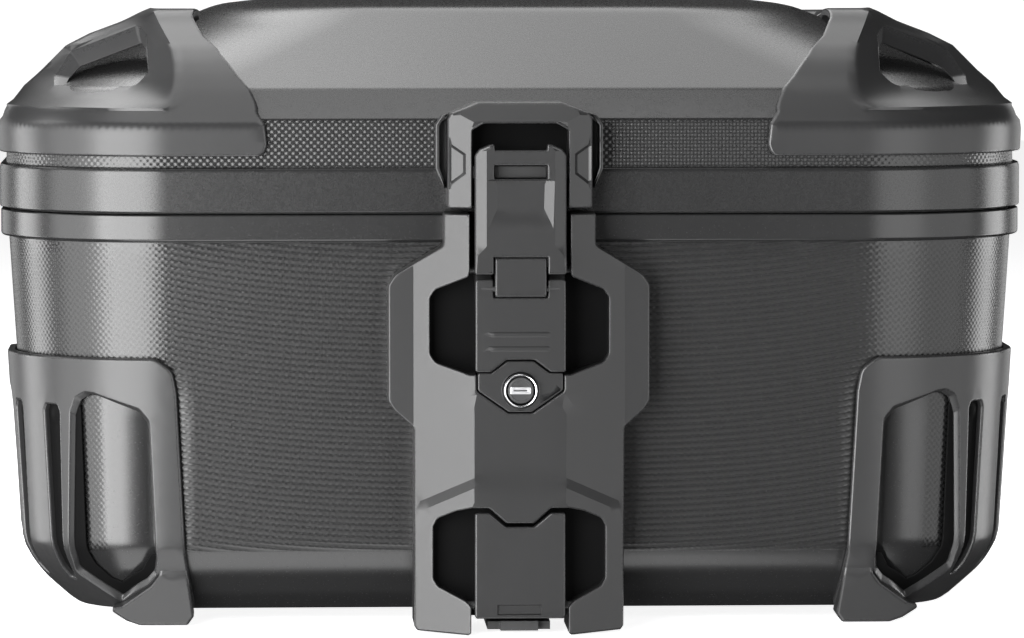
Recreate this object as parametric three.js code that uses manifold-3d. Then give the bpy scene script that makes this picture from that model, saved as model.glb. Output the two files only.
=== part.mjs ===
// Motorcycle top case: hard tub and lid on two rear hinges, corner protectors with lashing eyes,
// a front over-centre latch with lock, and a lower lever that frees the case from its rack.
// Millimetres. Front faces -Y, +X to the right seen from the front, +Z up, origin under the middle.
import * as THREE from 'three';
import { mergeVertices } from 'three/addons/utils/BufferGeometryUtils.js';
import Module from 'manifold-3d';

const wasm = await Module();
wasm.setup();

// ---- driving dimensions -------------------------------------------------------------------
const RIM_HX = 249, RIM_HY = 180, RIM_R = 82; // rim outline: half width, half depth, corner radius
const CY = 6; // plan centre of tub and lid
const SEAM_Z = 200, SEAM_GAP = 0.6; // lid parting height, half the gap
const TUB_WALL = 3.6, LID_WALL = 3.6;
const BAND_Z = 186, LID_BAND_Z = 221; // smooth bands each side of the seam
const TOP_Z = 300;
const FIT = 0.3; // gap between touching parts
const CORNER_SEG = 8;
const GUARD_IN = 163, GUARD_TOP = 130; // lower protectors: inner edge from centre, top height
const HINGE_Y = 193.6, HINGE_R = 6.2, HINGE_X = 118; // rear hinges
const LEVER_Y = -186, LEVER_Z = 174; // upper lever pivot
const HOOK_Y = -201, HOOK_Z = 165.5; // hook pivot on the lever
const LOCK_Z = 117.3, PLUG_R = 6.5, BEZEL_R = 8.2;
const RELEASE_Y = -191, RELEASE_Z = 14; // lower lever pivot
const FRONT = -200; // front plane of the latch housing
const MIDDLE_Y = 3.1; // moves the whole case so that the origin is under its middle

// ---- solids -------------------------------------------------------------------------------
function solid(geometry) {
  let g = geometry.index ? geometry : mergeVertices(geometry);
  g = g.clone();
  for (const key of Object.keys(g.attributes)) if (key !== 'position') g.deleteAttribute(key);
  g = mergeVertices(g, 1e-4);
  return new wasm.Manifold(new wasm.Mesh({
    numProp: 3,
    vertProperties: new Float32Array(g.attributes.position.array),
    triVerts: new Uint32Array(g.index.array),
  }));
}

function geometryOf(manifold) {
  const m = manifold.getMesh();
  const g = new THREE.BufferGeometry();
  g.setAttribute('position', new THREE.BufferAttribute(new Float32Array(m.vertProperties), 3));
  g.setIndex(new THREE.BufferAttribute(new Uint32Array(m.triVerts), 1));
  return g;
}

const cut = (a, ...others) => others.reduce((s, o) => s.subtract(o), a);
const join = (a, ...others) => others.reduce((s, o) => s.add(o), a);
const mirrorPts = (pts) => [...pts, ...pts.map(([x, z]) => [-x, z]).reverse()];

function box(x0, x1, y0, y1, z0, z1) {
  const g = new THREE.BoxGeometry(x1 - x0, y1 - y0, z1 - z0);
  return solid(g.translate((x0 + x1) / 2, (y0 + y1) / 2, (z0 + z1) / 2));
}

function shapeOf(pts) {
  const s = new THREE.Shape(pts.map(([a, b]) => new THREE.Vector2(a, b)));
  return s;
}

// Outline in X and Z, extruded along Y.
function alongY(pts, y0, y1) {
  const g = new THREE.ExtrudeGeometry(shapeOf(pts), { depth: y1 - y0, bevelEnabled: false });
  return solid(g.rotateX(Math.PI / 2).translate(0, y1, 0));
}

// Outline in Y and Z, extruded along X.
function alongX(pts, x0, x1) {
  const g = new THREE.ExtrudeGeometry(shapeOf(pts), { depth: x1 - x0, bevelEnabled: false });
  g.applyMatrix4(new THREE.Matrix4().makeBasis(
    new THREE.Vector3(0, 1, 0), new THREE.Vector3(0, 0, 1), new THREE.Vector3(1, 0, 0)));
  return solid(g.translate(x0, 0, 0));
}

// Outline in X and Y, extruded along Z.
function alongZ(pts, z0, z1) {
  const g = new THREE.ExtrudeGeometry(shapeOf(pts), { depth: z1 - z0, bevelEnabled: false });
  return solid(g.translate(0, 0, z0));
}

function rodX(x0, x1, y, z, r, seg = 20) {
  const g = new THREE.CylinderGeometry(r, r, x1 - x0, seg);
  return solid(g.rotateZ(Math.PI / 2).translate((x0 + x1) / 2, y, z));
}

function rodY(y0, y1, x, z, r, seg = 28) {
  return solid(new THREE.CylinderGeometry(r, r, y1 - y0, seg).translate(x, (y0 + y1) / 2, z));
}

function rodZ(z0, z1, x, y, r, seg = 20) {
  const g = new THREE.CylinderGeometry(r, r, z1 - z0, seg);
  return solid(g.rotateX(Math.PI / 2).translate(x, y, (z0 + z1) / 2));
}

// Rounded rectangle with the same point count for every size, so outlines can be lofted.
function ring(hx, hy, r) {
  const pts = [];
  const corners = [[1, 1, 0], [-1, 1, 1], [-1, -1, 2], [1, -1, 3]];
  for (const [sx, sy, q] of corners) {
    for (let i = 0; i <= CORNER_SEG; i += 1) {
      const a = (q + i / CORNER_SEG) * (Math.PI / 2);
      pts.push([sx * (hx - r) + r * Math.cos(a), CY + sy * (hy - r) + r * Math.sin(a)]);
    }
  }
  return pts;
}

function loft(sections) {
  const n = sections[0].pts.length;
  const positions = [];
  const index = [];
  for (const { pts, z } of sections) for (const [x, y] of pts) positions.push(x, y, z);
  for (let s = 0; s < sections.length - 1; s += 1) {
    for (let i = 0; i < n; i += 1) {
      const j = (i + 1) % n;
      const a = s * n + i, b = s * n + j, c = (s + 1) * n + j, d = (s + 1) * n + i;
      index.push(a, b, c, a, c, d);
    }
  }
  const top = (sections.length - 1) * n;
  const cap = THREE.ShapeUtils.triangulateShape(
    sections[0].pts.map(([x, y]) => new THREE.Vector2(x, y)), []);
  for (const [a, b, c] of cap) index.push(c, b, a, top + a, top + b, top + c);
  const g = new THREE.BufferGeometry();
  g.setAttribute('position', new THREE.Float32BufferAttribute(positions, 3));
  g.setIndex(index);
  return solid(g);
}

// Section offset by d from the rim outline.
const rim = (d, z) => ({ pts: ring(RIM_HX + d, RIM_HY + d, RIM_R + d), z });
const plan = (hx, hy, r, z) => ({ pts: ring(hx, hy, r), z });

const group = new THREE.Group();
group.name = 'top_case';
group.position.set(0, MIDDLE_Y, 0);

function add(name, manifold, color, roughness, metalness) {
  const mesh = new THREE.Mesh(geometryOf(manifold),
    new THREE.MeshStandardMaterial({ color, roughness, metalness }));
  mesh.name = name;
  group.add(mesh);
}

const plastic = [0x2c2d30, 0.55, 0.0];
const satin = [0x232427, 0.42, 0.0];
const rubber = [0x141414, 0.85, 0.0];
const steel = [0xb4b6ba, 0.32, 1.0];
const dark = [0x3a3b3e, 0.45, 1.0];

// ---- tub ----------------------------------------------------------------------------------
const tubSections = [[-46, 6], [-40, 9], [-32, 14.5], [-25, 21], [-19, 28], [-13.4, 38],
  [-6.7, 141], [-3.8, 184.6], [0, BAND_Z], [0, SEAM_Z - SEAM_GAP]];
const tubOuter = (grow) => loft(tubSections.map(([d, z]) => rim(d + grow, z)));
const tubInner = loft([[-48, 10], [-36, 17.5], [-24, 30], [-18, 40], [-6.7 - TUB_WALL - 1, 141],
  [-8.6, 186], [-8.6, SEAM_Z + 1]].map(([d, z]) => rim(d, z)));
add('lower_shell', cut(tubOuter(0), tubInner), ...plastic);

// ---- lid ----------------------------------------------------------------------------------
const LID_Z0 = SEAM_Z + SEAM_GAP;
const lidOuter = loft([
  rim(0.6, LID_Z0), rim(0.6, LID_BAND_Z), rim(-2.7, LID_BAND_Z + 0.8), rim(-3.2, 244.7),
  plan(230, 162, 84, 259), plan(160, 106, 80, 290), plan(144, 94, 72, 296.6),
  plan(122, 76, 58, 299.2), plan(60, 36, 30, TOP_Z)]);
const lidInner = loft([
  rim(-11.5, LID_Z0 - 1), rim(-11.5, 205), rim(-6.8, 209), rim(-7, 243),
  plan(224, 156, 80, 256), plan(156, 102, 76, 286.2), plan(141, 91, 69, 292.6),
  plan(119, 73, 55, 295.4), plan(60, 36, 30, 296.2)]);
const SEAL_Z1 = 203.4;
const sealGroove = cut(loft([rim(-4.2, LID_Z0 - 1), rim(-4.2, SEAL_Z1 + FIT)]),
  loft([rim(-8.4, LID_Z0 - 2), rim(-8.4, SEAL_Z1 + 2)]));
add('lid_shell', cut(lidOuter, lidInner, sealGroove), ...plastic);
add('lid_seal', cut(loft([rim(-4.5, SEAM_Z - FIT), rim(-4.5, SEAL_Z1)]),
  loft([rim(-8.1, SEAM_Z - 2), rim(-8.1, SEAL_Z1 + 2)])), ...rubber);

// ---- corner guards ------------------------------------------------------------------------
// Built for the front left corner, then mirrored to the other three.
function addCorners(name, manifold, look) {
  const places = [['front_left', 1, 1], ['front_right', -1, 1], ['rear_left', 1, -1], ['rear_right', -1, -1]];
  for (const [where, sx, sy] of places) {
    const g = geometryOf(manifold);
    const p = g.attributes.position;
    for (let i = 0; i < p.count; i += 1) p.setXYZ(i, sx * p.getX(i), CY + sy * (p.getY(i) - CY), p.getZ(i));
    if (sx * sy < 0) {
      const k = g.index.array;
      for (let i = 0; i < k.length; i += 3) [k[i], k[i + 1]] = [k[i + 1], k[i]];
    }
    add(`${name}_${where}`, solid(g), ...look);
  }
}

const guardOuter = loft([[-38.3, 5.9], [-32.4, 9.8], [-25.1, 15.7], [-19.2, 21.6], [-14.3, 27],
  [-8, 37.8], [-2.8, GUARD_TOP], [-3.6, GUARD_TOP + 2]].map(([d, z]) => rim(d, z)));
const guardEdge = (inner, foot) => [[-260, -2], [foot, -2], [foot - 4, 35], [inner, 116],
  [inner - 2, 124], [inner - 7, 129], [inner - 14, GUARD_TOP], [-260, GUARD_TOP + 1.5]];
// Window outline for a wall that runs from a (at the corner) to b, pointed at its foot.
const windowPts = (a, b) => [[0.0, 104], [0.06, 111.5], [0.17, 114.2], [0.27, 113.8], [0.8, 106.6],
  [0.92, 100.5], [1, 32.5], [0.98, 25], [0.9, 20.5], [0.58, 10.5], [0.4, 15.3], [0.07, 25], [0.03, 30.6],
].map(([t, z]) => [a + t * (b - a), z]);
const slotPts = (a, b, lean) => [[a, 104], [a + 2, 107], [b - 2, 107], [b, 104],
  [b + lean, 27], [b + lean - 2, 24], [a + lean + 2, 24], [a + lean, 27]];
let guard = join(guardOuter, box(-187, -157, -150, -131, 0, 14));
guard = cut(guard, tubOuter(0.45), box(-300, 300, -127, 300, -1, 6.3));
guard = guard.intersect(alongY(guardEdge(-GUARD_IN, -155), -260, 20))
  .intersect(alongX(guardEdge(-50, -42), -270, 20));
guard = cut(guard, alongY(windowPts(-214.5, -172.5), -260, -100),
  alongY(slotPts(-226.5, -219, 2.5), -260, -100),
  alongX(slotPts(-123.5, -113.5, 2.5), -260, -190),
  alongX(windowPts(-107.5, -60), -260, -190));
addCorners('lower_guard', guard, satin);

const lidGrown = loft([
  rim(1.1, LID_Z0), rim(1.1, LID_BAND_Z + 2), rim(-2.3, LID_BAND_Z + 4), rim(-2.8, 245),
  plan(230.8, 162.8, 84.5, 259.4), plan(160.9, 106.9, 80.5, 290.5), plan(144.9, 94.9, 72.5, 297.1),
  plan(122, 76, 58, 299.8), plan(60, 36, 30, TOP_Z + 0.6)]);
const eyeOuter = (drop) => loft([
  [250, 181, 83, 227], [250.5, 181.5, 83.5, 238], [248, 179, 81, 244], [243.6, 174.6, 77, 250],
  [238, 165.5, 72, 259], [226, 151, 66, 273], [218, 141, 63, 279], [202, 131, 59, 285],
  [187, 121, 54, 291], [173, 109, 48, 296], [158, 98, 44, 297.4]].map(([hx, hy, r, z]) => plan(hx, hy, r, z - drop)));
const eyeEdge = (low, mid, high) => [[-270, 226], [low - 3, 226], [low - 3, 228], [low, 232],
  [low + 1, 240], [low - 5, 254], [mid, 272], [high, 297], [high, 310], [-270, 310]];
// The strap goes down through the window and out under the bar, towards the middle of the lid.
const eyeWindow = [[-212, -119], [-181, -112], [-176, -117], [-176, -154], [-182, -160], [-217, -139],
  [-218, -132]];
const strapWay = [[-184, -147], [-208, -123], [-142, -57], [-118, -81]];
let eye = cut(eyeOuter(0), lidGrown);
eye = eye.intersect(alongY(eyeEdge(-122, -138, -154), -270, 20))
  .intersect(alongX(eyeEdge(-58, -72, -84), -270, 20));
eye = cut(eye, alongZ(eyeWindow, 250, 310), eyeOuter(6).intersect(alongZ(strapWay, 240, 310)));
addCorners('upper_guard', eye, satin);

// ---- latch housing on the tub -------------------------------------------------------------
const tubBack = [[-175, 201], [-175, 185.2], [-170.7, 183.8], [-167.8, 141], [-161.2, 38],
  [-155.6, 28], [-150, 21]];
const housingOutline = mirrorPts([[-36.2, 201], [-36.2, 185], [-48, 176.5], [-59, 169.5], [-62.3, 165.5],
  [-62.3, 112], [-60, 108], [-50, 97.5], [-50, 2], [-48, 0], [-23, 0], [-23, 15.5]]);
const facets = mirrorPts([[-70, -140], [-70, -181], [-50, -184.5], [-35.6, -195], [-22, FRONT]]);
let housing = alongY(housingOutline, -206, -140).intersect(alongZ(facets, -1, 202))
  .intersect(alongX([[-210, -1], [-210, 202], ...tubBack, [-150, -1]], -70, 70));
const upperRecess = mirrorPts([[-24.4, 171], [-31, 168.4], [-40, 165.5], [-42.5, 161], [-42.5, 133],
  [-40, 129.6], [-28, 126], [-24, 124.5]]);
const lowerRecess = mirrorPts([[-24.4, 61.5], [-31, 59], [-39.5, 55.5], [-41, 51.5], [-41, 26],
  [-39, 22.5], [-26, 16.4], [-23, 14]]);
housing = cut(housing, alongY(upperRecess, -210, -178), alongY(lowerRecess, -210, -181),
  box(-24.3, 24.3, -210, -178, 150, 203), box(-22.5, 22.5, -210, -184, 4, 20),
  rodX(-33, 33, LEVER_Y, LEVER_Z, 2.3), rodX(-33, 33, RELEASE_Y, RELEASE_Z, 2.3),
  rodY(-206, -150, 0, LOCK_Z, BEZEL_R + FIT), rodY(-189, -150, 0, LOCK_Z, 15.5));
const tongue = alongY(mirrorPts([[-13.4, 63], [-6.4, 53]]), FRONT, -182);
housing = join(housing, tongue);
add('latch_housing', housing, ...satin);

let lever = alongY(mirrorPts([[-21.6, 168], [-21.6, 126.4], [-14, 126.4], [-6, 132.2]]), -203, -195);
lever = join(lever,
  alongX([[-203, 140], [-203, 163], [-204.8, 165.5], [-203.6, 168.6], [-199, 170], [-192, 175.5],
    [-188, 178], [-182.5, 177], [-181.8, 172], [-188, 160], [-195, 148], [-195, 140]], -21.6, 21.6));
for (const z of [137, 145]) lever = join(lever, box(-15, 14, -203.9, -202, z - 1.1, z + 1.1));
lever = cut(lever, rodX(-12.7, 12.7, HOOK_Y, HOOK_Z, 5.6), box(-12.7, 12.7, -210, -196.4, HOOK_Z, 180),
  rodX(-30, 30, LEVER_Y, LEVER_Z, 2.3), rodX(-19, 19, HOOK_Y, HOOK_Z, 1.8));
add('latch_lever', lever, ...satin);
add('lever_pin', rodX(-32, 32, LEVER_Y, LEVER_Z, 2), ...steel);

let hook = alongY(mirrorPts([[-18, 234], [-22, 229], [-22, 176], [-19, 172], [-12, 172]]), -206, -198.6);
hook = cut(hook, box(-12.9, 12.9, -207, -198, 217, 224.4), box(-12.6, 12.6, -207, -198, 231, 236));
hook = join(hook, alongX([[-206, 177], [-205.6, HOOK_Z], [-203.3, 161.5], [-201, 160.8], [-198.5, 161.7],
  [-196.8, 164], [-197, 170], [-198.6, 177]], -12.2, 12.2));
const hookPanel = mirrorPts([[-14, 213.5], [-18, 209], [-18, 201], [-12, 197]]);
hook = cut(hook, alongY(hookPanel, -207, -204.6), rodX(-19, 19, HOOK_Y, HOOK_Z, 1.8));
add('latch_hook', hook, ...satin);
add('hook_pin', rodX(-18.6, 18.6, HOOK_Y, HOOK_Z, 1.5), ...steel);

// ---- lock ---------------------------------------------------------------------------------
const plateOutline = mirrorPts([[-5.6, 131.4], [-13.6, 125.8], [-20, 125.8], [-20, 114], [-14, 107.4],
  [-11, 106]]);
add('lock_plate', cut(alongY(plateOutline, -202, FRONT - FIT), rodY(-205, -195, 0, LOCK_Z, BEZEL_R + FIT)), ...satin);
add('lock_bezel', cut(rodY(-203.6, -190, 0, LOCK_Z, BEZEL_R, 40), rodY(-206, -188, 0, LOCK_Z, PLUG_R + FIT, 40)), ...steel);
add('lock_plug', cut(rodY(-202.8, -187.6, 0, LOCK_Z, PLUG_R, 40),
  box(-4.6, 4.6, -206, -196, LOCK_Z - 1.1, LOCK_Z + 1.1)), ...dark);
add('lock_cam', join(rodY(-187.3, -184, 0, LOCK_Z, 6.5), box(-3.5, 3.5, -187.3, -184, LOCK_Z, LOCK_Z + 14.6)), ...steel);

// ---- lower lever and rack bolt ------------------------------------------------------------
let release = alongY(mirrorPts([[-14.2, 58.2], [-21.4, 58.2], [-21.4, 9], [-19, 7.4]]), -198, -190);
release = cut(release, alongY(mirrorPts([[-15, 60], [-8, 51.4]]), -205, -180),
  box(-11, 11, -199, -197, 10.5, 15));
release = join(release, rodX(-21.4, 21.4, RELEASE_Y, RELEASE_Z, 4.4),
  box(-5, 5, -194, -188.6, 7.2, 12));
release = cut(release, rodX(-30, 30, RELEASE_Y, RELEASE_Z, 2.3));
add('release_lever', release, ...satin);
add('release_pin', rodX(-32, 32, RELEASE_Y, RELEASE_Z, 2), ...steel);
add('rack_bolt', join(box(-15, 15, -182, -22, 1.4, 5.2), box(-9, 9, -188.1, -182, 1.4, 6)), ...steel);

// ---- catch on the lid ---------------------------------------------------------------------
const lidBack = [[-175.1, 203.3], [-175.1, 221.6], [-171.8, 222.6], [-171.8, 244.9], [-163.4, 253.4]];
const wingOutline = mirrorPts([[-38, 244.7], [-40.4, 242.5], [-40.4, 224], [-35.3, 211.5], [-35.3, 209]]);
let catchPlate = alongY(wingOutline, -180, -160)
  .intersect(alongX([[-180, 200], ...lidBack, [-180, 253.4]], -60, 60));
add('catch_plate', catchPlate, ...satin);

const coverOutline = mirrorPts([[-19.6, 254], [-33, 248], [-35, 244], [-35, 203.3], [-23.7, 203.3],
  [-23.7, 239], [-19, 243.5]]);
let cover = alongY(coverOutline, -206, -160).intersect(
  alongX([[-200, 203.3], [-202, 236], [-199, 244], [-186, 251], [-170, 254.2], [-163, 254.2],
    [-163.4, 253.2], [-172, 245.6], [-180.3, 245.4], [-180.3, 203.3]], -60, 60));
const chevron = (s) => alongY([[-32.6, 217], [-25.8, 213.4], [-25.8, 235], [-32.6, 231]].map(([x, z]) => [s * x, z]), -206, -198.4);
cover = cut(cover, chevron(1), chevron(-1));
add('catch_cover', cover, ...satin);
add('catch_keeper', join(box(-23.3, 23.3, -197.4, -182, 218, 223.6), box(-12, 12, -198.2, -196, 218.4, 223.2)), ...steel);

// ---- rear hinges --------------------------------------------------------------------------
const HINGE_Z = SEAM_Z;
for (const [side, x] of [['left', -HINGE_X], ['right', HINGE_X]]) {
  const barrel = (a, b) => rodX(x + a, x + b, HINGE_Y, HINGE_Z, HINGE_R, 24);
  const bore = rodX(x - 30, x + 30, HINGE_Y, HINGE_Z, 2.3);
  const lowLeaf = alongX([[182.7, 158], [187, 158], [190.4, 164], [191, 196], [187, 196], [186.4, 185.2],
    [182.7, 183.4]], x - 24, x + 24);
  const room = (a, b) => rodX(x + a, x + b, HINGE_Y, HINGE_Z, HINGE_R + 0.6, 24);
  const low = cut(join(cut(lowLeaf, room(-8.3, 8.3), box(x - 8.3, x + 8.3, 180, 202, 193, 210)),
    barrel(-24, -8.3), barrel(8.3, 24)), bore, box(x - 30, x + 30, 180, 186.3, 186, 215));
  add(`hinge_tub_leaf_${side}`, low, ...dark);
  const highLeaf = alongX([[186.9, 203], [191, 202], [191, 222], [188.5, 224], [186.9, 224]], x - 24, x + 24);
  const high = cut(join(cut(highLeaf, room(-25, -8), room(8, 25)), barrel(-8, 8)), bore,
    box(x - 30, x + 30, 180, 186.9, 190, 230));
  add(`hinge_lid_leaf_${side}`, high, ...dark);
  add(`hinge_pin_${side}`, rodX(x - 25, x + 25, HINGE_Y, HINGE_Z, 2), ...steel);
}

// ---- base ---------------------------------------------------------------------------------
const PLATE = { hx: 92, y0: -60, y1: 132, z0: 2.4, z1: 5.7 };
let plate = alongZ([[-PLATE.hx + 14, PLATE.y0], [PLATE.hx - 14, PLATE.y0], [PLATE.hx, PLATE.y0 + 14],
  [PLATE.hx, PLATE.y1 - 14], [PLATE.hx - 14, PLATE.y1], [-PLATE.hx + 14, PLATE.y1],
  [-PLATE.hx, PLATE.y1 - 14], [-PLATE.hx, PLATE.y0 + 14]], PLATE.z0, PLATE.z1);
plate = cut(plate, box(-15.4, 15.4, PLATE.y0 - 1, -12, 0, 8), box(-22, 22, 88, 104, 0, 8));
const screwAt = [];
for (const sx of [-1, 1]) for (const y of [-28, 100]) screwAt.push([sx * 62, y]);
for (const [x, y] of screwAt) plate = cut(plate, rodZ(0, 3.9, x, y, 4.6), rodZ(0, 8, x, y, 2.4));
add('base_plate', plate, ...dark);
screwAt.forEach(([x, y], i) => {
  add(`base_screw_${i + 1}`, join(rodZ(2.5, 3.6, x, y, 4.2), rodZ(3, 5.6, x, y, 2.1)), ...steel);
});
let pad = 0;
for (const sx of [-1, 1]) for (const y of [0, 72]) {
  pad += 1;
  add(`base_pad_${pad}`, rodZ(0, PLATE.z0 - FIT, sx * 74, y, 10, 24), ...rubber);
}

export default group;
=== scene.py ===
import math

import bpy
import bmesh
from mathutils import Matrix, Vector
from mathutils.geometry import delaunay_2d_cdt

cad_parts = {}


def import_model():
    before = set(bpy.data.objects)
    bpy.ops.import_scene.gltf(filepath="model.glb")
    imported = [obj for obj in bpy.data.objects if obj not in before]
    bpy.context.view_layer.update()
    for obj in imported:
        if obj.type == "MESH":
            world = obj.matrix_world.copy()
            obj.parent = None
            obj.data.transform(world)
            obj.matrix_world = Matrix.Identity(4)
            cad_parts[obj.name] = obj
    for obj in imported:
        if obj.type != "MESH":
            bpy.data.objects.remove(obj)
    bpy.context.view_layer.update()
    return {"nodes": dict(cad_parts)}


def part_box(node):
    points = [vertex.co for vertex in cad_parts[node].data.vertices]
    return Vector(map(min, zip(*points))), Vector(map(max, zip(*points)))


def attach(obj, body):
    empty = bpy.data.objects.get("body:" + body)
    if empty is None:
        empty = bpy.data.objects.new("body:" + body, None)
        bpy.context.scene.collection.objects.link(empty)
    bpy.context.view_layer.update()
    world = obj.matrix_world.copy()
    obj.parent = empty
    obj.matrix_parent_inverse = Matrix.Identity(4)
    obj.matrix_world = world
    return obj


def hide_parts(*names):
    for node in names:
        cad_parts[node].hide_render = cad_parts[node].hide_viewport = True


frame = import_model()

NODES = frame["nodes"]
MM = 0.001

# The case's own millimetre frame: x from the middle, y from a point CY in front of the tub's
# centre, z from the feet. OX and OY carry it into the frame of model.glb.
CY = 6
_lo, _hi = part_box("lower_shell")
OX = (_lo.x + _hi.x) / 2 / MM
OY = (_lo.y + _hi.y) / 2 / MM - CY
# Half width, half depth and corner radius of the tub's rim.
RIM_HX, RIM_HY, RIM_R = 249, 180, 82
CORNERS = (("front_left", 1, 1), ("front_right", -1, 1), ("rear_left", 1, -1), ("rear_right", -1, -1))


def add_object(name, data):
    ob = bpy.data.objects.new(name, data)
    bpy.context.scene.collection.objects.link(ob)
    return ob


def world(p):
    return ((p[0] + OX) * MM, (p[1] + OY) * MM, p[2] * MM)


# ---- 2D outlines
def clamp01(t):
    return max(0, min(1, t))


def lerp(a, b, f):
    return tuple(x + (y - x) * f for x, y in zip(a, b))


def around(poly):
    """The sides of a closed outline, as pairs of points."""
    return zip(poly, poly[1:] + poly[:1])


def area(poly):
    return 0.5 * sum(a[0] * b[1] - b[0] * a[1] for a, b in around(poly))


def ccw(poly):
    return list(poly) if area(poly) > 0 else list(reversed(poly))


def clockwise(poly):
    return list(reversed(ccw(poly)))


def fillet(poly, r, steps=4, closed=True):
    """Round each corner. A point may carry its own radius as a third value."""
    out = []
    n = len(poly)
    for i, p in enumerate(poly):
        if not closed and i in (0, n - 1):
            out.append((p[0], p[1]))
            continue
        rad = p[2] if len(p) > 2 else r
        p0 = Vector(p[:2])
        a = Vector(poly[i - 1][:2]) - p0
        b = Vector(poly[(i + 1) % n][:2]) - p0
        la, lb = a.length, b.length
        if rad <= 0 or la < 1e-6 or lb < 1e-6:
            out.append((p[0], p[1]))
            continue
        a, b = a / la, b / lb
        turn = math.pi - a.angle(b)
        if turn < math.radians(4):
            out.append((p[0], p[1]))
            continue
        t = min(rad * math.tan(turn / 2), 0.46 * la, 0.46 * lb)
        rad = t / math.tan(turn / 2)
        centre = p0 + (a + b).normalized() * (rad / math.cos(turn / 2))
        s0 = p0 + a * t - centre
        s1 = p0 + b * t - centre
        for k in range(steps + 1):
            f = k / steps
            v = (s0 * math.sin((1 - f) * turn) + s1 * math.sin(f * turn)) / math.sin(turn)
            out.append((centre.x + v.x, centre.y + v.y))
    clean = []
    for q in out:
        if not clean or (Vector(q) - Vector(clean[-1])).length > 1e-3:
            clean.append(q)
    if closed and (Vector(clean[0]) - Vector(clean[-1])).length < 1e-3:
        clean.pop()
    return clean


def offset(poly, d):
    """Move every corner towards the material, which lies on the left of the walk."""
    if abs(d) < 1e-9:
        return list(poly)
    n = len(poly)
    out = []
    for i, p in enumerate(poly):
        e1 = (Vector(p) - Vector(poly[i - 1])).normalized()
        e2 = (Vector(poly[(i + 1) % n]) - Vector(p)).normalized()
        n1, n2 = Vector((-e1.y, e1.x)), Vector((-e2.y, e2.x))
        m = (n1 + n2) * (d / max(0.35, 1 + n1.dot(n2)))
        out.append((p[0] + m.x, p[1] + m.y))
    return out


def inside(p, poly):
    hit = False
    for (x0, y0), (x1, y1) in around(poly):
        if (y0 > p[1]) != (y1 > p[1]) and p[0] < (x1 - x0) * (p[1] - y0) / (y1 - y0) + x0:
            hit = not hit
    return hit


def line_dist(q, a, b):
    """Distance of q from the line between a and b."""
    ab = b - a
    t = clamp01((q - a).dot(ab) / max(1e-12, ab.dot(ab)))
    return (a + ab * t - q).length


def near_edge(p, poly, d):
    q = Vector(p)
    return any(line_dist(q, Vector(a), Vector(b)) < d for a, b in around(poly))


def mirror2(pts):
    """Left half of an outline, completed by its mirror image."""
    right = [(-p[0],) + tuple(p[1:]) for p in reversed(pts)]
    return list(pts) + right


def densify(poly, step):
    out = []
    n = len(poly)
    for i, p in enumerate(poly):
        q = poly[(i + 1) % n]
        k = max(1, int((Vector(q) - Vector(p)).length / step))
        out += [(p[0] + (q[0] - p[0]) * j / k, p[1] + (q[1] - p[1]) * j / k) for j in range(k)]
    return out


# ---- meshes
CAP_INSET = 0.45                       # mm from a slab's bevel to where its flat front begins
OUTLINE_GAP, CREASE_GAP = 0.45, 0.42   # kept free beside outlines and creases, in grid steps
ROW_PITCH = 0.87                       # between rows of the triangle grid, in grid steps
NORMAL_WEIGHT = 60


def make(name, verts, faces, mat, body, replaces=(), attrs=None, sharp=None):
    me = bpy.data.meshes.new(name)
    me.from_pydata([world(v) for v in verts], [], faces)
    for key, values in (attrs or {}).items():
        kind = "FLOAT" if isinstance(values[0], (int, float)) else "FLOAT_VECTOR"
        at = me.attributes.new(key, kind, "POINT")
        if kind == "FLOAT":
            at.data.foreach_set("value", values)
        else:
            at.data.foreach_set("vector", [c for v in values for c in v])
    bm = bmesh.new()
    bm.from_mesh(me)
    bmesh.ops.remove_doubles(bm, verts=bm.verts, dist=2e-6)
    bmesh.ops.dissolve_degenerate(bm, edges=bm.edges, dist=1e-7)
    bmesh.ops.recalc_face_normals(bm, faces=bm.faces)
    bm.to_mesh(me)
    bm.free()
    me.polygons.foreach_set("use_smooth", [True] * len(me.polygons))
    if sharp:
        me.set_sharp_from_angle(angle=math.radians(sharp))
    ob = add_object(name, me)
    me.materials.append(mat)
    w = ob.modifiers.new("normals", "WEIGHTED_NORMAL")
    w.keep_sharp = True
    w.weight = NORMAL_WEIGHT
    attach(ob, body)
    if replaces:
        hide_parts(*replaces)
    return ob


def mix_loops(a, b, f):
    return [lerp(p, q, f) for p, q in zip(a, b)]


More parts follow.
